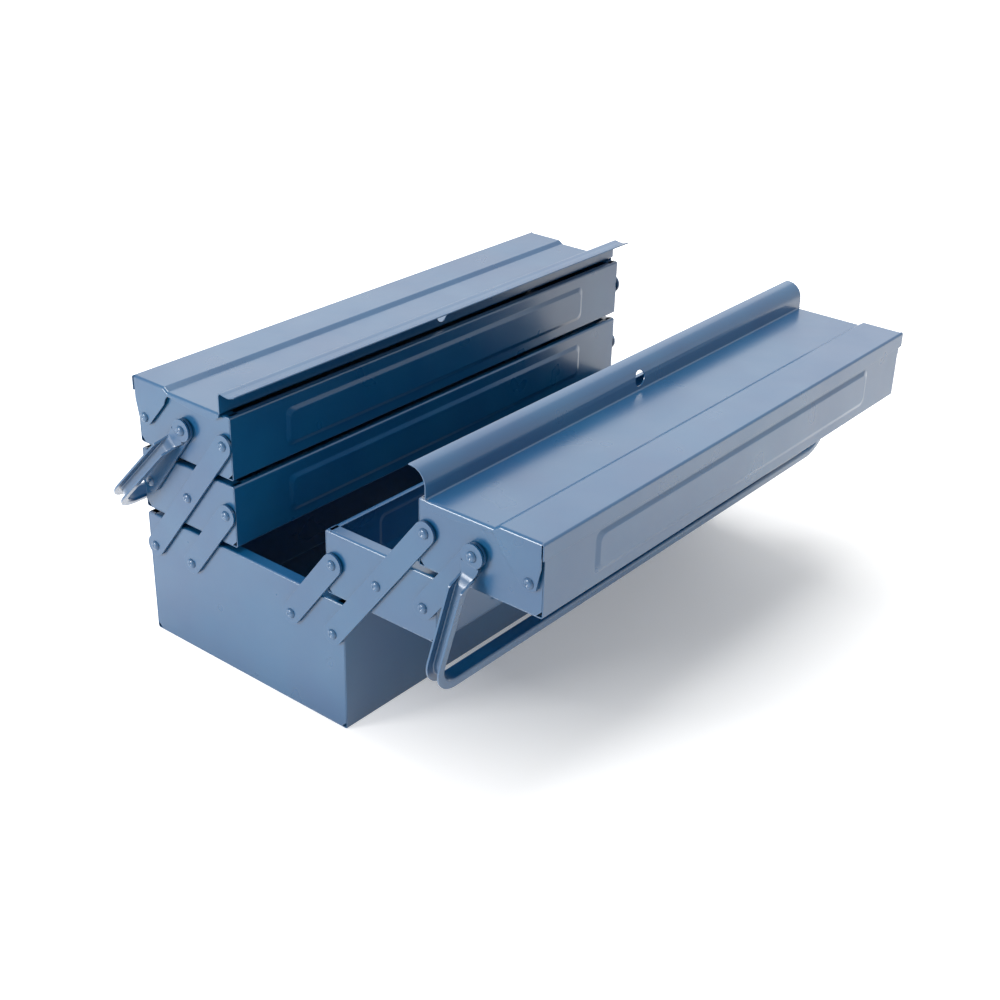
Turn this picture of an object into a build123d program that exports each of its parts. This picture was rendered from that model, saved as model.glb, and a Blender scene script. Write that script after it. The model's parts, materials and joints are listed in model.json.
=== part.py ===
"""Cantilever tool box of folded and riveted sheet steel.

A base carries two pairs of trays on strap arms. The right pair stands swung out on
its stop, and the left pair is shut over the base. Each top tray has a hinged half
lid and a bail handle. +X is the side that stands open, Y runs along the box from
front to rear, +Z is up, and the origin is the middle of the base's underside.
"""

import os
from math import atan2, cos, degrees, hypot, radians, sin

from build123d import *

os.makedirs("parts", exist_ok=True)

# Driving dimensions in millimetres, angles in degrees.
length = 470.0  # outside length of base and trays
base_width = 212.0
base_height = 105.5
tray_height = 50.0
level_gap = 5.0  # from a rim up to the floor of the tray above
centre_gap = 6.0  # between the shut halves' inner walls
sheet = 0.9
bend = 2.0  # outer radius of a fold
base_rim = 8.0  # width of the rims folded inward
tray_rim = 5.0
end_rim = 9.5
corner_notch = 3.0  # relief at the lower corners of an end plate
seam = 0.15  # between an end plate and the side wall beside it
tab_width = 9.0  # spot-welded tabs of an end plate

# Raised panel pressed into the trays' long walls.
panel_length = 364.0
panel_height = 31.0
panel_slope = 5.0
panel_rise = 1.5
panel_middle = 24.5  # above the tray's floor
panel_corner = 6.0

# Strap arms. Every arm has the same pitch between pivots and stays parallel to the rest.
arm_pitch = 71.1
arm_angle = 52.5  # above the horizontal, the same shut and open
arm_width = 17.0
arm_thickness = 2.0
arm_spacing = 42.4  # between the two pivots on one end plate
long_arm_inset = 9.5  # from the base's side to the long arm's pivot
base_pivot_z = 79.5

# Rivets and washers.
shank_radius = 2.25
running_gap = 0.05  # radial play of a hole that turns on a rivet
face_gap = 0.1  # between faces that turn past each other
head_radius = 4.0
head_height = 1.8
dimple_radius = 1.6
dimple_depth = 0.7
tail_radius = 3.6
tail_height = 1.2
washer_radius = 6.5
washer_thickness = 0.9

# Half lids.
lid_overhang = 1.1  # past the tray's outer wall
lid_end_overhang = 2.8
lid_play = 0.8  # between the rim and the inner panel
lid_step = 3.0  # the outer panel stands this much higher
crease_outer = 34.0  # from the outer wall to the top of the step
crease_inner = 38.5
skirt_depth = 12.0
lip_inset = 8.4  # from the tray's inner wall to the lip
lid_pivot_inset = 10.0
lid_pivot_rise = 23.5  # above the tray's floor
end_skirt_depth = 6.8
lip_sizes = {1: (238.2, 14.8, 8.0), -1: (235.0, 17.0, 5.0)}  # top, reach and bend by side
lock_hole_radius = 6.0
lock_hole_z = 226.5

# Bail handles: channels whose flanges point away from the pivot.
bail_reach = 101.0  # from the pivot to the inside of the grip
bail_spread = 252.0  # from the middle to the inside of a leg at the grip
bail_width = 11.5
bail_depth = 7.0
bail_sheet = 1.5
bail_corner = 16.0
bail_edge_radius = 2.4
bail_head_radius = 8.8
bail_neck = 16.0  # from the pivot to where the flat head becomes a channel
right_lean = -11.5  # outward from hanging straight down
left_lean = 41.7

# Heights and places that follow.
panel_crown = (panel_length - 2 * panel_slope, panel_height - 2 * panel_slope)
half_length = length / 2
arm_reach = arm_pitch * cos(radians(arm_angle))
arm_rise = arm_pitch * sin(radians(arm_angle))
middle_floor = base_height + level_gap
top_floor = middle_floor + tray_height + level_gap
lid_plane = top_floor + tray_height + lid_play + sheet  # top of the lid's inner panel
tray_inner = centre_gap / 2
tray_outer = base_width / 2
middle_pivot_z = base_pivot_z + arm_rise
top_pivot_z = middle_pivot_z + arm_rise

# Pivots as distances from the middle plane when shut.
base_outer_pivot = base_width / 2 - long_arm_inset
base_inner_pivot = base_outer_pivot - arm_spacing
middle_long_pivot = base_outer_pivot - arm_reach
middle_inner_pivot = middle_long_pivot - arm_spacing
middle_outer_pivot = middle_long_pivot + arm_spacing
top_long_pivot = middle_long_pivot - arm_reach
top_outer_pivot = top_long_pivot + arm_spacing
lid_pivot = tray_outer - lid_pivot_inset
lid_pivot_z = top_floor + lid_pivot_rise

# Layers outward from an end plate, as distances from the middle of the box.
arm_face = half_length + washer_thickness + face_gap
arm_back = arm_face + arm_thickness
bail_face = arm_back + washer_thickness + 2 * face_gap
bail_back = bail_face + bail_sheet
lid_end = half_length + lid_end_overhang
lid_end_inside = lid_end - sheet

sides = {"right": 1, "left": -1}
ends = {"front": -1, "rear": 1}
swing_out = {"right": 2 * arm_reach, "left": 0.0}  # how far each level has moved out


def save(piece, name):
    piece.part.label = name
    export_step(piece.part, f"parts/{name}.step")


def cross_plane(side, y=0.0):
    """Plane across the box at y, with local x outward on that side and local y up."""
    return Plane(origin=(0, y, 0), x_dir=(side, 0, 0), z_dir=(0, -side, 0))


def outward(side, end, amount):
    """Extrusion length on a cross_plane that goes away from the middle of the box."""
    return -side * end * amount


# Base and trays: a folded body and two end plates each.


def folded_body(name, low, high, floor, top, rim, panels):
    """Floor and long walls folded from one sheet, with rims turned inward."""
    with BuildPart() as body:
        with BuildSketch(Plane.XZ):
            with BuildLine():
                FilletPolyline(
                    (low + rim, top),
                    (low, top),
                    (low, floor),
                    (high, floor),
                    (high, top),
                    (high - rim, top),
                    radius=bend,
                )
                offset(amount=sheet, side=Side.LEFT)
            make_face()
        extrude(amount=half_length, both=True)
        with BuildSketch(Plane.XY.offset(top)):
            for end in ends.values():
                with Locations(((low + high) / 2, end * (half_length - end_rim / 2))):
                    Rectangle(high - low - 2 * sheet, end_rim + 2 * seam)
        extrude(amount=bend, both=True, mode=Mode.SUBTRACT)
        for wall, direction in ((high, 1), (low, -1)) if panels else ():
            for skin, mode in ((0.0, Mode.ADD), (sheet, Mode.SUBTRACT)):
                start = wall - direction * skin
                with BuildSketch(Plane.YZ.offset(start)):
                    with Locations((0, floor + panel_middle)):
                        RectangleRounded(panel_length, panel_height, panel_corner)
                with BuildSketch(Plane.YZ.offset(start + direction * panel_rise)):
                    with Locations((0, floor + panel_middle)):
                        RectangleRounded(*panel_crown, panel_corner / 2)
                loft(mode=mode)
    save(body, name)


def end_plate(name, low, high, floor, top, end, holes):
    """End plate with a rim, two welded tabs and notched lower corners."""
    left = low + sheet + seam
    right = high - sheet - seam
    bottom = floor + sheet
    with BuildPart() as plate:
        with BuildSketch(Plane.YZ.offset(left)):
            with BuildLine():
                FilletPolyline(
                    (end * (half_length - end_rim), top),
                    (end * half_length, top),
                    (end * half_length, bottom),
                    radius=bend,
                )
                offset(amount=sheet, side=Side.RIGHT if end > 0 else Side.LEFT)
            make_face()
        extrude(amount=right - left)
        with BuildSketch(Plane.XZ.offset(-end * half_length)):
            with Locations((left, bottom), (right, bottom)):
                Rectangle(2 * corner_notch, 2 * corner_notch, rotation=45)
        extrude(amount=2 * sheet, both=True, mode=Mode.SUBTRACT)
        tab_low = bottom + corner_notch + bend
        tab_high = top - bend - sheet
        with BuildSketch(Plane.XY.offset(tab_low)):
            for x in (left + sheet / 2, right - sheet / 2):
                with Locations((x, end * (half_length - tab_width / 2 - sheet))):
                    Rectangle(sheet, tab_width)
        extrude(amount=tab_high - tab_low)
        with BuildSketch(Plane.XZ.offset(-end * half_length)):
            for x, z, radius in holes:
                with Locations((x, z)):
                    Circle(radius)
        extrude(amount=2 * sheet, both=True, mode=Mode.SUBTRACT)
    save(plate, name)


# Straps, rivets and washers.


def strap(name, side, end, pivots):
    """Flat bar with round ends and a hole at each pivot."""
    (x0, z0), (x1, z1) = pivots[0], pivots[-1]
    angle = degrees(atan2(z1 - z0, x1 - x0))
    with BuildPart() as bar:
        with BuildSketch(cross_plane(side, end * arm_face)):
            with Locations(((x0 + x1) / 2, (z0 + z1) / 2)):
                SlotCenterToCenter(hypot(x1 - x0, z1 - z0), arm_width, rotation=angle)
            with Locations(*pivots):
                Circle(shank_radius + running_gap, mode=Mode.SUBTRACT)
        extrude(amount=outward(side, end, arm_thickness))
    save(bar, name)


def rivet_group(name, side, places):
    """Front and rear rivets at each (distance from the middle, height, seat of the dimpled head)."""
    inside = half_length - sheet
    with BuildPart() as group:
        for end in ends.values():
            for x, z, seat in places:
                top = seat + head_height
                with BuildSketch(Plane.XY.offset(z).shift_origin((side * x, 0, z))):
                    with BuildLine():
                        Polyline(
                            (0, end * (top - dimple_depth)),
                            (0, end * (inside - tail_height)),
                            (tail_radius, end * (inside - tail_height)),
                            (tail_radius, end * inside),
                            (shank_radius, end * inside),
                            (shank_radius, end * seat),
                            (head_radius, end * seat),
                        )
                        ThreePointArc(
                            (head_radius, end * seat),
                            (0.78 * head_radius, end * (seat + 0.72 * head_height)),
                            (dimple_radius, end * top),
                        )
                        Line((dimple_radius, end * top), (0, end * (top - dimple_depth)))
                    make_face()
                revolve(axis=Axis((side * x, 0, z), (0, 1, 0)))
    save(group, name)


def washer_group(name, side, places):
    """Front and rear washers at each (distance from the middle, height, face, thickness)."""
    with BuildPart() as group:
        for end in ends.values():
            for x, z, face, thickness in places:
                with BuildSketch(cross_plane(side, end * face)):
                    with Locations((x, z)):
                        Circle(washer_radius)
                        Circle(shank_radius, mode=Mode.SUBTRACT)
                extrude(amount=outward(side, end, thickness))
    save(group, name)


# Half lids.


def lid(name, side, shift):
    """Stepped panel with a skirt, end cheeks that carry its pivots and a curved lip."""
    edge = tray_outer + lid_overhang + shift
    wall = tray_outer + shift
    raised = lid_plane + lid_step
    lip = tray_inner + lip_inset + shift
    lip_top, lip_reach, lip_bend = lip_sizes[side]
    pivot = lid_pivot + shift
    cheek_low = lid_pivot_z - 4.8
    with BuildPart() as piece:
        with BuildSketch(cross_plane(side)):
            with BuildLine():
                FilletPolyline(
                    (edge, raised - skirt_depth),
                    (edge, raised),
                    (wall - crease_outer, raised),
                    (wall - crease_inner, lid_plane),
                    (lip, lid_plane),
                    (lip, lip_top),
                    (lip - lip_reach, lip_top),
                    radius=[bend, bend, bend, 1.2, lip_bend],
                )
                offset(amount=sheet, side=Side.LEFT)
            make_face()
        extrude(amount=lid_end, both=True)
        for end in ends.values():
            with BuildSketch(cross_plane(side, end * lid_end_inside)):
                with BuildLine():
                    Polyline(
                        (edge, raised - bend),
                        (wall - crease_outer, raised - sheet / 2),
                        (wall - crease_inner, raised - lid_step - 6.5),
                        (pivot - 4.8, cheek_low),
                        (pivot + 5.8, cheek_low + 1.4),
                        (edge, raised - skirt_depth + 4),
                        close=True,
                    )
                make_face()
                with Locations((pivot, lid_pivot_z)):
                    Circle(6.8)
                with BuildLine():
                    Polyline(
                        (lip + end_skirt_depth, lid_plane - end_skirt_depth),
                        (lip + 1.5, lid_plane - end_skirt_depth + 0.6),
                        (lip + 0.3, lid_plane - sheet / 2),
                        (wall - crease_inner - 1, lid_plane - sheet / 2),
                    )
                    ThreePointArc(
                        (wall - crease_inner - 1, lid_plane - sheet / 2),
                        ((lip + wall - crease_inner) / 2 + 2, lid_plane - 0.78 * end_skirt_depth),
                        (lip + end_skirt_depth, lid_plane - end_skirt_depth),
                    )
                make_face()
                with Locations((pivot, lid_pivot_z)):
                    Circle(shank_radius + running_gap, mode=Mode.SUBTRACT)
            extrude(amount=outward(side, end, sheet))
        with BuildSketch(Plane.YZ.offset(side * lip)):
            with Locations((0, lock_hole_z)):
                Circle(lock_hole_radius)
        extrude(amount=2 * sheet, both=True, mode=Mode.SUBTRACT)
    save(piece, name)


# Bail handles.


def mirrored(points):
    """Half outline, given as (distance from the middle, distance below the pivot), made whole."""
    front = [(-y, -s) for y, s in points]
    rear = [(y, -s) for y, s in reversed(points)]
    return front + rear


def bail(name, side, shift, lean):
    """Channel bent to a wide U, with a flat round head at each end."""
    x = side * (top_outer_pivot + shift)
    tilt = radians(lean)
    normal = (cos(tilt), 0, side * sin(tilt))
    bail_plane = Plane(origin=(x, 0, top_pivot_z), x_dir=(0, 1, 0), z_dir=normal)
    neck_slope = 8.0
    inside = [
        (bail_face, bail_neck),
        (bail_face + 5.5, bail_neck + neck_slope),
        (bail_spread, bail_reach),
    ]
    web = [
        (bail_back, bail_neck),
        (bail_back + 5.5, bail_neck + neck_slope),
        (bail_spread + bail_sheet, bail_reach + bail_sheet),
    ]
    outside = [
        (bail_back + bail_edge_radius, bail_neck),
        (bail_face + 5.5 + bail_depth, bail_neck + 2 * neck_slope),
        (bail_spread + bail_depth, bail_reach + bail_depth),
    ]
    inner_radii = [3.0, bail_corner, bail_corner, 3.0]
    web_radii = [3.0, bail_corner + bail_sheet, bail_corner + bail_sheet, 3.0]
    outer_radii = [6.0, bail_corner + bail_depth, bail_corner + bail_depth, 6.0]
    with BuildPart() as piece:
        with BuildSketch(bail_plane):
            with BuildLine():
                FilletPolyline(*mirrored(inside), radius=inner_radii)
                FilletPolyline(*mirrored(outside), radius=outer_radii)
                for end in ends.values():
                    Line((end * bail_face, -bail_neck), (end * (bail_back + bail_edge_radius), -bail_neck))
            make_face()
        extrude(amount=bail_width / 2, both=True)
        near_pivot = [e for e in piece.edges().filter_by(Axis.Y) if e.length > length / 2]
        near_pivot.sort(key=lambda e: ((e @ 0.5) - Vector(x, 0, top_pivot_z)).length)
        fillet(near_pivot[:2], radius=bail_edge_radius)
        with BuildSketch(bail_plane):
            with BuildLine():
                away = bail_spread + 2 * bail_corner
                far = [(bail_back, bail_neck), (away, bail_neck), (away, bail_reach + 2 * bail_corner)]
                FilletPolyline(*mirrored(web), radius=web_radii)
                Polyline(*mirrored(far))
            make_face()
        extrude(amount=bail_width / 2 - bail_sheet, both=True, mode=Mode.SUBTRACT)
        for end in ends.values():
            head_plane = Plane(origin=(x, end * bail_face, top_pivot_z), x_dir=normal, z_dir=(0, end, 0))
            with BuildSketch(head_plane):
                Circle(bail_head_radius)
                with BuildLine():
                    Polyline(
                        (-bail_head_radius, 0),
                        (bail_head_radius, 0),
                        (bail_width / 2, end * (bail_neck + 1)),
                        (-bail_width / 2, end * (bail_neck + 1)),
                        close=True,
                    )
                make_face()
                Circle(shank_radius + running_gap, mode=Mode.SUBTRACT)
            extrude(amount=bail_sheet)
    save(piece, name)


# The base.

base_pivots = [
    (side * pivot, base_pivot_z, shank_radius)
    for side in sides.values()
    for pivot in (base_outer_pivot, base_inner_pivot)
]
folded_body("base_body", -base_width / 2, base_width / 2, 0.0, base_height, base_rim, False)
for end_name, end in ends.items():
    end_plate(f"base_{end_name}_end", -base_width / 2, base_width / 2, 0.0, base_height, end, base_pivots)
base_places = [(x, z, arm_back + face_gap) for x, z, _ in base_pivots]
rivet_group("base_arm_rivets", 1, base_places)
washer_group("base_arm_washers", 1, [(x, z, half_length, washer_thickness) for x, z, _ in base_places])

# Each side: two trays, three pairs of arms, a lid and a handle.

for side_name, side in sides.items():
    middle_shift = swing_out[side_name]
    top_shift = 2 * swing_out[side_name]
    middle_pivots = [middle_inner_pivot, middle_long_pivot, middle_outer_pivot]
    top_holes = [
        (top_long_pivot, top_pivot_z, shank_radius),
        (top_outer_pivot, top_pivot_z, shank_radius + running_gap),
        (lid_pivot, lid_pivot_z, shank_radius),
    ]
    middle_holes = [(x, middle_pivot_z, shank_radius) for x in middle_pivots]
    for level, shift, floor, holes in (
        ("middle", middle_shift, middle_floor, middle_holes),
        ("top", top_shift, top_floor, top_holes),
    ):
        low, high = sorted((side * (tray_inner + shift), side * (tray_outer + shift)))
        tray = f"{side_name}_{level}_tray"
        folded_body(f"{tray}_body", low, high, floor, floor + tray_height, tray_rim, True)
        placed = [(side * (x + shift), z, radius) for x, z, radius in holes]
        for end_name, end in ends.items():
            end_plate(f"{tray}_{end_name}_end", low, high, floor, floor + tray_height, end, placed)

    base_at = (base_outer_pivot, base_pivot_z)
    lower_base_at = (base_inner_pivot, base_pivot_z)
    middle_at = [(x + middle_shift, middle_pivot_z) for x in middle_pivots]
    top_at = (top_long_pivot + top_shift, top_pivot_z)
    top_outer_at = (top_outer_pivot + top_shift, top_pivot_z)
    for end_name, end in ends.items():
        strap(f"{side_name}_long_arm_{end_name}", side, end, [base_at, middle_at[1], top_at])
        strap(f"{side_name}_lower_arm_{end_name}", side, end, [lower_base_at, middle_at[0]])
        strap(f"{side_name}_upper_arm_{end_name}", side, end, [middle_at[2], top_outer_at])

    arm_seat = arm_back + face_gap
    lid_at = (lid_pivot + top_shift, lid_pivot_z)
    rivet_group(f"{side_name}_middle_tray_rivets", side, [(x, z, arm_seat) for x, z in middle_at])
    rivet_group(f"{side_name}_top_tray_rivets", side, [(*top_at, arm_seat), (*lid_at, lid_end + face_gap)])
    rivet_group(f"{side_name}_handle_rivets", side, [(*top_outer_at, bail_back + face_gap)])
    washer_group(
        f"{side_name}_middle_tray_washers",
        side,
        [(x, z, half_length, washer_thickness) for x, z in middle_at],
    )
    washer_group(
        f"{side_name}_top_tray_washers",
        side,
        [
            (*top_at, half_length, washer_thickness),
            (*lid_at, half_length, lid_end_inside - half_length - face_gap),
        ],
    )
    lid(f"{side_name}_lid", side, top_shift)

bail("right_handle", 1, 2 * swing_out["right"], right_lean)
bail("left_handle", -1, 0.0, left_lean)
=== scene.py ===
"""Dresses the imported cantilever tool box: folded and pressed sheet, handles, enamel and studio."""

import json
from math import cos, pi, radians, sin, tan

import bmesh
import bpy
from bpy.props import FloatProperty, FloatVectorProperty, PointerProperty
from bpy.types import Operator, Panel, PropertyGroup
from mathutils import Euler, Matrix, Vector


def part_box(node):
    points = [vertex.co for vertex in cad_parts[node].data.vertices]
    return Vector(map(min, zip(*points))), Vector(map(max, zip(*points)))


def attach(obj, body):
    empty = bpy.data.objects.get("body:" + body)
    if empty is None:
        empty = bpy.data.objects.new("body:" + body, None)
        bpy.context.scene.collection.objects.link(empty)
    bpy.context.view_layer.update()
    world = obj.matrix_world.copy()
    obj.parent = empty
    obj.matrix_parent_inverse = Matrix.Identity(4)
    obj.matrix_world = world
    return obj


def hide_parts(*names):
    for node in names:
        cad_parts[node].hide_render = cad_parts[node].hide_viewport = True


bl_info = {
    "name": "Cantilever Tool Box",
    "version": (1, 0, 0),
    "blender": (4, 5, 0),
    "location": "3D View > Sidebar > Tool Box",
    "description": "Builds the sheet steel, handles, enamel and studio of a cantilever tool box",
    "category": "Object",
}

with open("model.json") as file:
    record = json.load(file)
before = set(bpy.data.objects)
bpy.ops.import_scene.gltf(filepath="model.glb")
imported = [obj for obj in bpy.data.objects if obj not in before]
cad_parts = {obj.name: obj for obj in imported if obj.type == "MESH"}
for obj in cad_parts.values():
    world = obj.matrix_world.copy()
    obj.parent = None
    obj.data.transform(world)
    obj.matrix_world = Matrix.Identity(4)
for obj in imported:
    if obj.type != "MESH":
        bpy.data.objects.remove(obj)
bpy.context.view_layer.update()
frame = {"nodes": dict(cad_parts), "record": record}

mm = 0.001
slack = 0.02 * mm  # how far from a line a point may be and still lie on it
merge_gap = 0.005 * mm
fold_segments = 5
bend_segments = 14
round_segments = 40  # of the lock holes and the handles' heads

sides = {"right": 1, "left": -1}
ends = (-1, 1)
half_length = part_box("base_body")[1].y

# A panel's crease against the flats, and the ring that is first cut into the wall to make it.
panel_segments = 3
first_ring = 2 * mm

# The lids. Heights are above the underside of the base.
lid_plane = 217.2 * mm
lid_raised = 220.2 * mm
lid_overhang = 1.1 * mm  # from the tray's wall out to the lid's edge
crease = (34 * mm, 38.5 * mm)  # from the tray's wall in to the top and the foot of the step
lip_inset = 95.7 * mm  # from the lid's edge in to the lip
skirt_room = 1.9 * mm  # from the lid's edge in to the start of the end flange
lock_hole_height = 226.5 * mm
punch_length = 9 * mm

# A lip's section above the lid: in from its foot (negative) and up in mm, then its folds' radii.
lip_curls = {
    "right": ([(0, 238.2), (-14.8, 238.2)], [12.5]),
    "left": ([(0, 234.6), (-6.5, 233.2), (-11, 232.8), (-17, 234.8)], [3.2, 4, 6]),
}

# Lower edge of a lid's cheeks and end flanges: in from the lid's edge and up, in mm.
end_flange = [
    (2.0, 202),
    (5.3, 185.6),
    (10.6, 183.4),
    (15.9, 184.2),
    (35.1, 206.2),
    (37.0, 211.2),
    (39.6, 214.0),
    (49, 213.4),
    (62, 211.9),
    (75, 210.7),
    (85, 210.4),
    (90, 210.9),
    (93, 212.4),
    (94.6, 213.6),
    (95.7, 214.4),
]

# The handles. They are made hanging from a pivot at the origin and then turned to their rest.
lean = {"right": -11.5, "left": 41.7}  # degrees outward from hanging straight down
leg_splay = radians(5.49)
leg_corner = (0, 234.39 * mm, -85 * mm)  # centre of the bend from grip to leg
neck_start = 24 * mm  # below the pivot
head_offset = 0.08 * mm  # of the head's face from the end of the neck

# Rows of the neck: up and inward in mm, and what is kept of the channel's depth and width.
neck_rows = (
    (2.5, -1.1, 0.86, 1.0),
    (3.0, -2.1, 0.45, 1.0),
    (2.5, -1.8, 0.25, 1.02),
    (2.5, -0.45, 0.1, 1.08),
    (3.0, -0.05, 0.5, 1.1),
    (4.0, 0.0, 0.5, 1.1),
)

# The studio, in metres and degrees. Each lamp has its place, its target and its two widths.
lamps = {
    "key": ((-1.1, -2.3, 0.75), (0.08, 0, 0.12), 0.8, 0.8),
    "top": ((-1.3, 1.9, 1.9), (0.05, 0, 0.2), 2.6, 1.8),
    "over": ((0.15, 0.25, 2.4), (0.1, 0.02, 0), 1.2, 1.2),
}
camera_place = (0.7611, -0.8820, 0.6676)
camera_turn = (62.5134, -1.3554, 39.3987)
floor_size = 6
painted_shadow_centre = (0.15, 0.1, 0)  # centre of the painted shadow round the box: the floor's own light is least near here and grows with the distance from here


class EnamelSettings(PropertyGroup):
    colour: FloatVectorProperty(
        name="Colour",
        description="Body colour of the enamel",
        subtype="COLOR",
        size=3,
        default=(0.004, 0.09, 0.216),
    )
    deep_colour: FloatVectorProperty(
        name="Deep colour",
        description="Where the enamel lies thick",
        subtype="COLOR",
        size=3,
        default=(0.003, 0.074, 0.195),
    )
    roughness: FloatProperty(
        name="Roughness",
        description="Roughness of the enamel",
        subtype="FACTOR",
        min=0,
        max=1,
        default=0.3,
    )
    peel: FloatProperty(
        name="Peel depth",
        description="Depth of the spray's orange peel",
        unit="LENGTH",
        default=0.003 * mm,
    )
    waviness: FloatProperty(
        name="Waviness",
        description="Depth of the slow waves in large flat sheet",
        unit="LENGTH",
        default=0.14 * mm,
    )


class SheetSettings(PropertyGroup):
    thickness: FloatProperty(
        name="Thickness",
        description="Thickness of the steel",
        unit="LENGTH",
        default=0.9 * mm,
    )
    fold: FloatProperty(
        name="Fold",
        description="Outer radius of a fold",
        unit="LENGTH",
        default=2.0 * mm,
    )
    edge: FloatProperty(
        name="Edge",
        description="Rounding of a painted edge",
        unit="LENGTH",
        default=0.25 * mm,
    )
    base_rim: FloatProperty(
        name="Base rim",
        description="Width of the base's rims",
        unit="LENGTH",
        default=8 * mm,
    )
    tray_rim: FloatProperty(
        name="Tray rim",
        description="Width of the trays' rims",
        unit="LENGTH",
        default=5 * mm,
    )
    panel_end: FloatProperty(
        name="Panel end",
        description="From the middle of the box to a panel's end",
        unit="LENGTH",
        default=182 * mm,
    )
    panel_low: FloatProperty(
        name="Panel low",
        description="Panel's lower edge above the tray's floor",
        unit="LENGTH",
        default=9 * mm,
    )
    panel_high: FloatProperty(
        name="Panel high",
        description="Panel's upper edge above the tray's floor",
        unit="LENGTH",
        default=40 * mm,
    )
    panel_slope: FloatProperty(
        name="Panel slope",
        description="Width of a panel's sloping edge",
        unit="LENGTH",
        default=3.6 * mm,
    )
    panel_rise: FloatProperty(
        name="Panel rise",
        description="Height of a panel's crown",
        unit="LENGTH",
        default=1.5 * mm,
    )
    panel_fold: FloatProperty(
        name="Panel fold",
        description="Rounding where a panel's edge meets the flats",
        unit="LENGTH",
        default=1.1 * mm,
    )
    panel_corner: FloatProperty(
        name="Panel corner",
        description="Rounding of a panel's corners",
        unit="LENGTH",
        default=4.2 * mm,
    )


class LidSettings(PropertyGroup):
    skirt: FloatProperty(
        name="Skirt",
        description="Depth of the lids' skirts",
        unit="LENGTH",
        default=12 * mm,
    )
    end_fold: FloatProperty(
        name="End fold",
        description="Outer radius of the lids' folds at the ends",
        unit="LENGTH",
        default=2.2 * mm,
    )
    lip_fold: FloatProperty(
        name="Lip fold",
        description="Radius where a lip rises from its lid",
        unit="LENGTH",
        default=1.2 * mm,
    )
    lock_hole: FloatProperty(
        name="Lock hole",
        description="Radius of the hole for a padlock",
        unit="LENGTH",
        default=6 * mm,
    )


class HandleSettings(PropertyGroup):
    thickness: FloatProperty(
        name="Thickness",
        description="Thickness of the steel",
        unit="LENGTH",
        default=1.5 * mm,
    )
    width: FloatProperty(
        name="Width",
        description="Width of the channel",
        unit="LENGTH",
        default=11.5 * mm,
    )
    depth: FloatProperty(
        name="Depth",
        description="Depth of the channel",
        unit="LENGTH",
        default=7 * mm,
    )
    fold: FloatProperty(
        name="Fold",
        description="Radius of the channel's folds",
        unit="LENGTH",
        default=2.4 * mm,
    )
    reach: FloatProperty(
        name="Reach",
        description="From the pivot to the inside of the grip",
        unit="LENGTH",
        default=101 * mm,
    )
    corner: FloatProperty(
        name="Corner",
        description="Inside radius from grip to leg",
        unit="LENGTH",
        default=16 * mm,
    )
    head: FloatProperty(
        name="Head",
        description="Radius of the flat heads",
        unit="LENGTH",
        default=8.8 * mm,
    )


class StudioSettings(PropertyGroup):
    sky: FloatProperty(
        name="Sky",
        description="Strength of the even light from all sides",
        subtype="FACTOR",
        default=0.55,
    )
    key: FloatProperty(
        name="Key",
        description="Power of the key lamp",
        subtype="POWER",
        default=39,
    )
    top: FloatProperty(
        name="Top",
        description="Power of the lamp over the lids",
        subtype="POWER",
        default=12,
    )
    over: FloatProperty(
        name="Over",
        description="Power of the lamp straight above",
        subtype="POWER",
        default=34,
    )
    lens: FloatProperty(
        name="Lens",
        description="Focal length on a 36 mm sensor, in mm",
        subtype="DISTANCE_CAMERA",
        default=55.21,
    )


def linked(name, shape):
    """New object that holds the mesh of a finished bmesh, with smooth faces."""
    mesh = bpy.data.meshes.new(name)
    shape.to_mesh(mesh)
    shape.free()
    mesh.polygons.foreach_set("use_smooth", [True] * len(mesh.polygons))
    piece = bpy.data.objects.new(name, mesh)
    bpy.context.scene.collection.objects.link(piece)
    return piece


def thickened(piece, thickness):
    """Gives a folded surface its thickness, on the side that it doesn't face."""
    thick = piece.modifiers.new("Thickness", "SOLIDIFY")
    thick.thickness = thickness
    thick.offset = -1


def painted_sheet(piece, slot, body, *nodes):
    """Gives a sheet its painted edges and its enamel, and puts it on its body."""
    sheet = bpy.context.scene.toolbox_sheet
    edge = piece.modifiers.new("Painted edge", "BEVEL")
    edge.width = sheet.edge
    edge.segments = 2
    edge.limit_method = "ANGLE"
    edge.angle_limit = radians(50)
    piece.modifiers.new("Flat faces", "WEIGHTED_NORMAL").keep_sharp = True
    piece.data.materials.append(enamel(slot))
    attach(piece, body)
    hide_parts(*nodes)


def only_edges(geom):
    """The edges among what an operator returns."""
    return [e for e in geom if isinstance(e, bmesh.types.BMEdge)]


def corners_of(edges):
    """The vertices of some edges, each once."""
    return list(dict.fromkeys(v for e in edges for v in e.verts))


def everything(shape):
    """All vertices, edges and faces of a bmesh."""
    return shape.verts[:] + shape.edges[:] + shape.faces[:]


def folded_line(shape, points, folds, y):
    """Row of edges through points in x and z at y, rounded at each inner point."""
    corners = [shape.verts.new((x, y, z)) for x, z in points]
    for start, end in zip(corners, corners[1:]):
        shape.edges.new((start, end))
    for corner, radius, before, after in zip(corners[1:-1], folds, points, points[2:]):
        here = Vector((corner.co.x, corner.co.z))
        turn = (here - Vector(before)).angle(Vector(after) - here)
        bmesh.ops.bevel(
            shape,
            geom=[corner],
            offset=radius * tan(turn / 2),
            offset_type="OFFSET",
            affect="VERTICES",
            segments=fold_segments,
            profile=0.5,
            material=-1,
        )
    return shape.edges[:]


def swept(shape, edges, run):
    """Draws the row of edges along a straight run and returns the far row."""
    far = only_edges(bmesh.ops.extrude_edge_only(shape, edges=edges)["geom"])
    bmesh.ops.translate(shape, vec=run, verts=corners_of(far))
    return far


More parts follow.
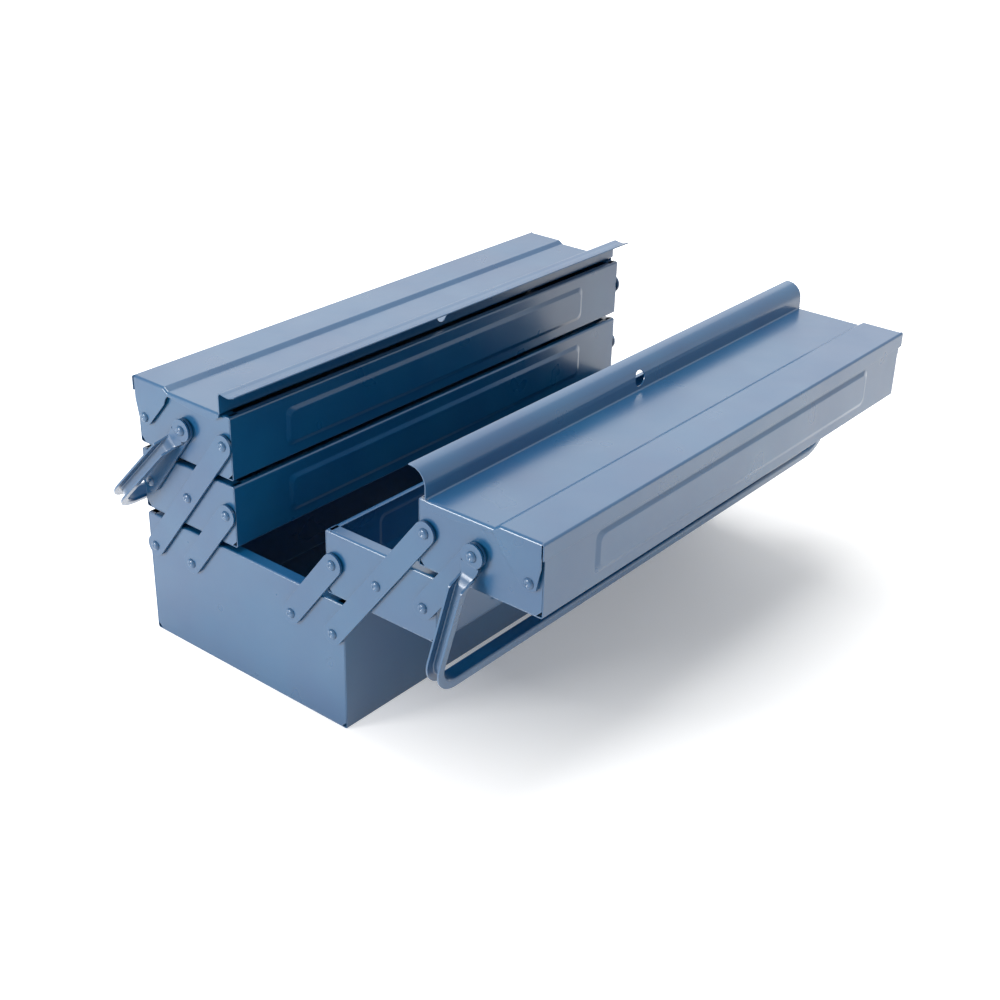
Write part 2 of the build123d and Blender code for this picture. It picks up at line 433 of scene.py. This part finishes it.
def rolled(shape, edges, offset, segments):
    """Rounds a run of edges."""
    bmesh.ops.bevel(
        shape,
        geom=edges,
        offset=offset,
        offset_type="OFFSET",
        affect="EDGES",
        segments=segments,
        profile=0.5,
        material=-1,
        clamp_overlap=True,
    )


def facing_up(shape, faces):
    """Turns the faces so that they agree and the largest level one looks up."""
    bmesh.ops.recalc_face_normals(shape, faces=shape.faces)
    shape.normal_update()
    level = max(faces, key=lambda f: f.calc_area() * abs(f.normal.z))
    if level.normal.z < 0:
        bmesh.ops.reverse_faces(shape, faces=faces)


def panel_slope_face(face, low, high, outward):
    """Whether a face is part of a panel's sloping edge on the wall that looks outward."""
    sheet = bpy.context.scene.toolbox_sheet
    middle = face.calc_center_median()
    within = abs(middle.y) < sheet.panel_end and low < middle.z < high
    return within and 0.5 < face.normal.x * outward < 0.995


def pressed_panel(shape, wall, low, high, middle, outward):
    """Presses a raised panel with sloping, rounded edges into one flat wall."""
    sheet = bpy.context.scene.toolbox_sheet
    cut = {"faces": [wall], "use_even_offset": True}
    bmesh.ops.inset_individual(shape, thickness=first_ring, **cut)
    for corner in wall.verts:
        corner.co.y = sheet.panel_end * (1 if corner.co.y > 0 else -1)
        corner.co.z = high if corner.co.z > middle else low
    ring = bmesh.ops.inset_individual(shape, thickness=sheet.panel_slope, **cut)["faces"]
    for corner in wall.verts:
        corner.co.x += outward * sheet.panel_rise
    shape.normal_update()
    crown = set(wall.edges)
    around = dict.fromkeys(e for f in ring for e in f.edges if not e.is_boundary)
    hips = [e for e in around if e not in crown and any(v in wall.verts for v in e.verts)]
    rolled(shape, hips, sheet.panel_corner, fold_segments)
    sloping = {f: True for f in shape.faces if panel_slope_face(f, low, high, outward)}
    loops = dict.fromkeys(
        e for f in sloping for e in f.edges if any(other not in sloping for other in e.link_faces)
    )
    rolled(shape, list(loops), sheet.panel_fold, panel_segments)


def folded_body(name, low, high, floor, top, rim, panels):
    """Floor and long walls of the base or a tray, open at the ends."""
    sheet = bpy.context.scene.toolbox_sheet
    shape = bmesh.new()
    points = [
        (low + rim, top),
        (low, top),
        (low, floor),
        (high, floor),
        (high, top),
        (high - rim, top),
    ]
    row = folded_line(shape, points, [sheet.fold] * 4, -half_length)
    swept(shape, row, (0, 2 * half_length, 0))
    bmesh.ops.recalc_face_normals(shape, faces=shape.faces)
    shape.normal_update()
    lowest = [f for f in shape.faces if f.calc_center_median().z < floor + mm]
    under = max(lowest, key=lambda f: f.calc_area())
    if under.normal.z > 0:
        bmesh.ops.reverse_faces(shape, faces=shape.faces)
    if panels:
        middle = (floor + top) / 2
        large = half_length * (top - floor) / 2
        walls = [f for f in shape.faces if abs(f.normal.x) > 0.99 and f.calc_area() > large]
        low_edge, high_edge = floor + sheet.panel_low, floor + sheet.panel_high
        for wall in walls:
            outward = 1 if wall.calc_center_median().x > (low + high) / 2 else -1
            pressed_panel(shape, wall, low_edge, high_edge, middle, outward)
    return linked(name, shape)


def lid_edge(side):
    """Distance of a lid's outer edge from the middle of the box."""
    return max(sides[side] * corner.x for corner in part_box(f"{side}_lid"))


def flange_low(inset):
    """Height of an end flange's lower edge, at a distance in from the lid's edge."""
    for (near, start), (far, end) in zip(end_flange, end_flange[1:]):
        if inset <= far * mm:
            part = max(0, (inset / mm - near) / (far - near))
            return (start + (end - start) * part) * mm
    return end_flange[-1][1] * mm


def in_lid_top(border, edge):
    """Whether a border edge at a lid's end is part of its top, not of its skirt or its lip."""
    one, other = (v.co for v in border.verts)
    for co in (one, other):
        if not edge - lip_inset - slack < co.x < edge - skirt_room:
            return False
        if not lid_plane - slack < co.z < lid_raised + slack:
            return False
    return abs(one.x - other.x) > abs(one.z - other.z)


def folded_end(shape, way, end, edge):
    """Folds one end of a lid's top down into flange and cheek, and carries the rest straight on."""
    bend = bpy.context.scene.toolbox_lid.end_fold
    start = way * (end - bend)
    border = [e for e in shape.edges if all(abs(v.co.y - start) < slack for v in e.verts)]
    row = [e for e in border if in_lid_top(e, edge)]
    swept(shape, [e for e in border if e not in row], (0, way * bend, 0))
    for step in range(fold_segments):
        near, far = (turn * pi / 2 / fold_segments for turn in (step, step + 1))
        out, down = sin(far) - sin(near), cos(far) - cos(near)
        row = swept(shape, row, (0, way * bend * out, bend * down))
    row = swept(shape, row, (0, 0, -mm))
    for corner in corners_of(row):
        corner.co.z = flange_low(edge - corner.co.x)


def lid_shell(side):
    """Half lid folded from one sheet: skirt, step, curled lip and the ends' flanges and cheeks."""
    fold = bpy.context.scene.toolbox_sheet.fold
    lid = bpy.context.scene.toolbox_lid
    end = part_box(f"{side}_lid")[1].y
    edge = lid_edge(side)
    lip = edge - lip_inset
    wall = edge - lid_overhang
    curl, radii = lip_curls[side]
    points = [
        (edge, lid_raised - lid.skirt),
        (edge, lid_raised),
        (wall - crease[0], lid_raised),
        (wall - crease[1], lid_plane),
        (lip, lid_plane),
        *((lip + x * mm, z * mm) for x, z in curl),
    ]
    folds = [fold, fold, fold, lid.lip_fold, *(r * mm for r in radii)]
    shape = bmesh.new()
    row = folded_line(shape, points, folds, lid.end_fold - end)
    swept(shape, row, (0, 2 * (end - lid.end_fold), 0))
    for inset, _ in end_flange[1:-1]:
        bmesh.ops.bisect_plane(
            shape,
            geom=everything(shape),
            plane_co=(edge - inset * mm, 0, 0),
            plane_no=(1, 0, 0),
        )
    bmesh.ops.remove_doubles(shape, verts=shape.verts, dist=slack)
    for way in ends:
        folded_end(shape, way, end, edge)
    if sides[side] < 0:
        bmesh.ops.scale(shape, vec=(-1, 1, 1), verts=shape.verts)
    facing_up(shape, shape.faces[:])
    return linked(f"{side}_lid_shell", shape)


def drilled(piece, side):
    """Cuts the lock hole through a lid's lip and keeps the thickened sheet."""
    radius = bpy.context.scene.toolbox_lid.lock_hole
    across = sides[side] * (lid_edge(side) - lip_inset)
    place = Matrix.Translation((across, 0, lock_hole_height))
    shape = bmesh.new()
    bmesh.ops.create_cone(
        shape,
        cap_ends=True,
        segments=round_segments,
        radius1=radius,
        radius2=radius,
        depth=punch_length,
        matrix=place @ Matrix.Rotation(pi / 2, 4, "Y"),
    )
    punch = linked("lock_punch", shape)
    cut = piece.modifiers.new("Lock hole", "BOOLEAN")
    cut.object = punch
    cut.operation = "DIFFERENCE"
    cut.solver = "EXACT"
    spent = [piece.data, punch.data]
    result = piece.evaluated_get(bpy.context.evaluated_depsgraph_get())
    piece.data = bpy.data.meshes.new_from_object(result)
    piece.modifiers.clear()
    piece.data.name = piece.name
    bpy.data.objects.remove(punch)
    for mesh in spent:
        bpy.data.meshes.remove(mesh)


def joint_anchor(name):
    """Where one of the record's joints has its axis."""
    for joint in frame["record"]["behaviour"]["joints"]:
        if joint["name"] == name:
            return Vector(joint["pos_m"])
    raise KeyError(name)


def handle_channel(side):
    """Bail bent from a pressed channel, with flat round heads, turned to its rest."""
    handle = bpy.context.scene.toolbox_handle
    shape = bmesh.new()
    half = handle.width / 2
    web, open_side = -handle.reach, -handle.reach - handle.depth
    section = [(half, open_side), (half, web), (-half, web), (-half, open_side)]
    row = folded_line(shape, section, [handle.fold] * 2, 0)
    row = swept(shape, row, (0, leg_corner[1], 0))
    turned = bmesh.ops.spin(
        shape,
        geom=row + corners_of(row),
        cent=leg_corner,
        axis=(1, 0, 0),
        angle=pi / 2 + leg_splay,
        steps=bend_segments,
        use_duplicate=False,
    )["geom_last"]
    rise = -leg_corner[2] - neck_start - handle.corner * sin(leg_splay)
    row = swept(shape, only_edges(turned), (0, -rise * tan(leg_splay), rise))
    for up, inward, depth, width in neck_rows:
        row = swept(shape, row, (0, inward * mm, up * mm))
        verts = corners_of(row)
        inner = Matrix.Translation((0, -min(v.co.y for v in verts), 0))
        bmesh.ops.scale(shape, vec=(width, depth, 1), space=inner, verts=verts)
    face = min(v.co.y for v in corners_of(row)) - head_offset
    flat = Matrix.Translation((0, face, 0)) @ Matrix.Rotation(pi / 2, 4, "X")
    bmesh.ops.create_circle(
        shape, cap_ends=True, segments=round_segments, radius=handle.head, matrix=flat
    )
    bmesh.ops.mirror(
        shape, geom=everything(shape), matrix=Matrix(), merge_dist=merge_gap, axis="Y"
    )
    heads = [f for f in shape.faces if len(f.verts) == round_segments]
    facing_up(shape, [f for f in shape.faces if f not in heads])
    inside_out = [f for f in heads if f.normal.y * f.calc_center_median().y > 0]
    bmesh.ops.reverse_faces(shape, faces=inside_out)
    hinge = joint_anchor(f"{side}_handle_hinge")
    tilt = Matrix.Rotation(radians(-sides[side] * lean[side]), 4, "Y")
    rest = Matrix.Translation((hinge.x, 0, hinge.z)) @ tilt
    bmesh.ops.transform(shape, matrix=rest, verts=shape.verts)
    return linked(f"{side}_handle_channel", shape)


def filled(node, values):
    """Sets a node's inputs by their names and returns the node."""
    for name, value in values.items():
        node.inputs[name].default_value = value
    return node


def enamel(slot):
    """Glossy sprayed enamel over sheet steel, made once for each of the record's slots."""
    name = f"{slot}_paint"
    if name in bpy.data.materials:
        return bpy.data.materials[name]
    paint = bpy.context.scene.toolbox_enamel
    material = bpy.data.materials.new(name)
    material.use_nodes = True
    nodes, links = material.node_tree.nodes, material.node_tree.links
    shader = nodes["Principled BSDF"]
    filled(shader, {"IOR": 1.55, "Specular IOR Level": 0.6})
    filled(shader, {"Coat Weight": 0.4, "Coat Roughness": 0.16})
    place = nodes.new("ShaderNodeTexCoord")

    def noise(scale, detail):
        node = filled(nodes.new("ShaderNodeTexNoise"), {"Scale": scale, "Detail": detail})
        links.new(place.outputs["Object"], node.inputs["Vector"])
        return node.outputs["Fac"]

    def bump(distance, height, below):
        node = filled(nodes.new("ShaderNodeBump"), {"Distance": distance})
        links.new(height, node.inputs["Height"])
        links.new(below, node.inputs["Normal"])
        return node.outputs["Normal"]

    depth = nodes.new("ShaderNodeValToRGB")
    thick, thin = depth.color_ramp.elements
    thick.position, thick.color = 0.35, (*paint.deep_colour, 1)
    thin.position, thin.color = 0.65, (*paint.colour, 1)
    links.new(noise(16, 2), depth.inputs["Fac"])
    links.new(depth.outputs["Color"], shader.inputs["Base Color"])

    gloss = filled(nodes.new("ShaderNodeMapRange"), {"From Min": 0.3, "From Max": 0.7})
    filled(gloss, {"To Min": paint.roughness - 0.03, "To Max": paint.roughness + 0.04})
    links.new(noise(26, 2), gloss.inputs["Value"])
    links.new(gloss.outputs["Result"], shader.inputs["Roughness"])

    edge = filled(nodes.new("ShaderNodeBevel"), {"Radius": 0.35 * mm})
    edge.samples = 4
    surface = edge.outputs["Normal"]
    if slot == "shell_enamel":
        surface = bump(paint.waviness, noise(14, 1), surface)
    surface = bump(paint.peel, noise(420, 1), surface)
    links.new(surface, shader.inputs["Normal"])
    return material


def seen_directly(nodes, links):
    """Output that is 1 for rays from the camera and from reflections, and 0 for all others."""
    seen = nodes.new("ShaderNodeLightPath")
    either = nodes.new("ShaderNodeMath")
    either.operation = "MAXIMUM"
    links.new(seen.outputs["Is Camera Ray"], either.inputs[0])
    links.new(seen.outputs["Is Glossy Ray"], either.inputs[1])
    return either.outputs[0]


def pale_floor():
    """White floor that keeps the box's shadow, with painted shade round the box: its own glow is
    weaker near the box and grows away from it.
    """
    white = bpy.data.materials.new("pale_floor")
    white.use_nodes = True
    nodes, links = white.node_tree.nodes, white.node_tree.links
    shader = nodes["Principled BSDF"]
    filled(shader, {"Base Color": (0.86, 0.86, 0.855, 1), "Emission Color": (1, 1, 1, 1)})
    filled(shader, {"Roughness": 0.9, "Specular IOR Level": 0.1})
    place = nodes.new("ShaderNodeTexCoord")
    away = nodes.new("ShaderNodeVectorMath")
    away.operation = "DISTANCE"
    away.inputs[1].default_value = painted_shadow_centre
    # Painted shadow round the box: the floor's glow rises from low near the box to high away from
    # it.
    painted_shadow_falloff = filled(nodes.new("ShaderNodeMapRange"), {"From Min": 0.2, "From Max": 0.42})
    filled(painted_shadow_falloff, {"To Min": 0.2, "To Max": 0.75})
    painted_floor_glow = nodes.new("ShaderNodeMath")
    painted_floor_glow.operation = "MULTIPLY"
    links.new(place.outputs["Object"], away.inputs[0])
    links.new(away.outputs["Value"], painted_shadow_falloff.inputs["Value"])
    links.new(seen_directly(nodes, links), painted_floor_glow.inputs[0])
    links.new(painted_shadow_falloff.outputs["Result"], painted_floor_glow.inputs[1])
    links.new(painted_floor_glow.outputs[0], shader.inputs["Emission Strength"])
    return white


def studio_sky(strength):
    """Even white light from all sides, at full white where the camera sees it."""
    world = bpy.data.worlds.new("studio_sky")
    world.use_nodes = True
    nodes, links = world.node_tree.nodes, world.node_tree.links
    sky = filled(nodes["Background"], {"Color": (1, 1, 1, 1)})
    level = filled(nodes.new("ShaderNodeMapRange"), {"To Min": strength, "To Max": 1.0})
    links.new(seen_directly(nodes, links), level.inputs["Value"])
    links.new(level.outputs["Result"], sky.inputs["Strength"])
    return world


def placed(name, data, place, turn):
    """Puts a lamp or a camera in the scene, with a turn that gives a matrix."""
    holder = bpy.data.objects.new(name, data)
    holder.matrix_world = Matrix.Translation(place) @ turn.to_matrix().to_4x4()
    bpy.context.scene.collection.objects.link(holder)
    return holder


def lamp(name, power, place, target, width, height):
    """Soft lamp that is aimed at a point."""
    light = bpy.data.lights.new(name, "AREA")
    light.shape = "RECTANGLE"
    light.energy = power
    light.size = width
    light.size_y = height
    aim = Vector(target) - Vector(place)
    placed(name, light, place, aim.to_track_quat("-Z", "Y"))


class TOOLBOX_OT_trays(Operator):
    """Folds the base and the trays and presses the trays' panels"""

    bl_idname = "toolbox.trays"
    bl_label = "Base and Trays"

    def execute(self, context):
        sheet = context.scene.toolbox_sheet
        low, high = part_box("base_body")
        body = folded_body("base_shell", low.x, high.x, low.z, high.z, sheet.base_rim, False)
        thickened(body, sheet.thickness)
        painted_sheet(body, "shell_enamel", "base", "base_body")
        for side in sides:
            for level in ("middle", "top"):
                tray = f"{side}_{level}_tray"
                low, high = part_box(f"{tray}_body")
                inner, outer = low.x + sheet.panel_rise, high.x - sheet.panel_rise
                body = folded_body(
                    f"{tray}_shell", inner, outer, low.z, high.z, sheet.tray_rim, True
                )
                thickened(body, sheet.thickness)
                painted_sheet(body, "shell_enamel", tray, f"{tray}_body")
        return {"FINISHED"}


class TOOLBOX_OT_lids(Operator):
    """Folds the two half lids and curls their lips"""

    bl_idname = "toolbox.lids"
    bl_label = "Lids"

    def execute(self, context):
        for side in sides:
            lid = lid_shell(side)
            thickened(lid, context.scene.toolbox_sheet.thickness)
            drilled(lid, side)
            painted_sheet(lid, "shell_enamel", f"{side}_lid", f"{side}_lid")
        return {"FINISHED"}


class TOOLBOX_OT_handles(Operator):
    """Presses and bends the two bail handles"""

    bl_idname = "toolbox.handles"
    bl_label = "Handles"

    def execute(self, context):
        for side in sides:
            handle = handle_channel(side)
            thickened(handle, context.scene.toolbox_handle.thickness)
            painted_sheet(handle, "handle_enamel", f"{side}_handle", f"{side}_handle")
        return {"FINISHED"}


class TOOLBOX_OT_hardware(Operator):
    """Paints the end plates, arms, rivets and washers of the frame"""

    bl_idname = "toolbox.hardware"
    bl_label = "Plates and Hardware"

    def execute(self, context):
        slots = {entry["node"]: entry["material_slot"] for entry in frame["record"]["subparts"]}
        for name, node in frame["nodes"].items():
            for slot in node.material_slots:
                slot.material = enamel(slots[name])
        return {"FINISHED"}


class TOOLBOX_OT_studio(Operator):
    """Sets up the floor, the soft lights and the camera"""

    bl_idname = "toolbox.studio"
    bl_label = "Studio"

    def execute(self, context):
        studio = context.scene.toolbox_studio
        scene = context.scene
        scene.view_settings.view_transform = "Standard"
        shape = bmesh.new()
        bmesh.ops.create_grid(shape, x_segments=1, y_segments=1, size=floor_size)
        floor = linked("floor", shape)
        floor.data.materials.append(pale_floor())
        scene.world = studio_sky(studio.sky)
        for name, (place, target, width, height) in lamps.items():
            lamp(name, getattr(studio, name), place, target, width, height)
        camera = bpy.data.cameras.new("camera")
        camera.sensor_width = 36
        camera.lens = studio.lens
        turn = Euler([radians(angle) for angle in camera_turn])
        scene.camera = placed("camera", camera, camera_place, turn)
        return {"FINISHED"}


steps = (
    TOOLBOX_OT_trays,
    TOOLBOX_OT_lids,
    TOOLBOX_OT_handles,
    TOOLBOX_OT_hardware,
    TOOLBOX_OT_studio,
)
settings = {
    "toolbox_enamel": EnamelSettings,
    "toolbox_sheet": SheetSettings,
    "toolbox_lid": LidSettings,
    "toolbox_handle": HandleSettings,
    "toolbox_studio": StudioSettings,
}


class TOOLBOX_PT_build(Panel):
    """Lists the steps that build the tool box"""

    bl_label = "Cantilever Tool Box"
    bl_idname = "TOOLBOX_PT_build"
    bl_space_type = "VIEW_3D"
    bl_region_type = "UI"
    bl_category = "Tool Box"

    def draw(self, context):
        for step in steps:
            self.layout.operator(step.bl_idname)
        for name, group in settings.items():
            box = self.layout.box()
            for prop in group.__annotations__:
                box.prop(getattr(context.scene, name), prop)


classes = (*settings.values(), *steps, TOOLBOX_PT_build)


def register():
    for cls in classes:
        bpy.utils.register_class(cls)
    for name, group in settings.items():
        setattr(bpy.types.Scene, name, PointerProperty(type=group))


def unregister():
    for name in settings:
        delattr(bpy.types.Scene, name)
    for cls in reversed(classes):
        bpy.utils.unregister_class(cls)


def main():
    register()
    for step in steps:
        group, name = step.bl_idname.split(".")
        getattr(getattr(bpy.ops, group), name)()


if __name__ == "__main__":
    main()
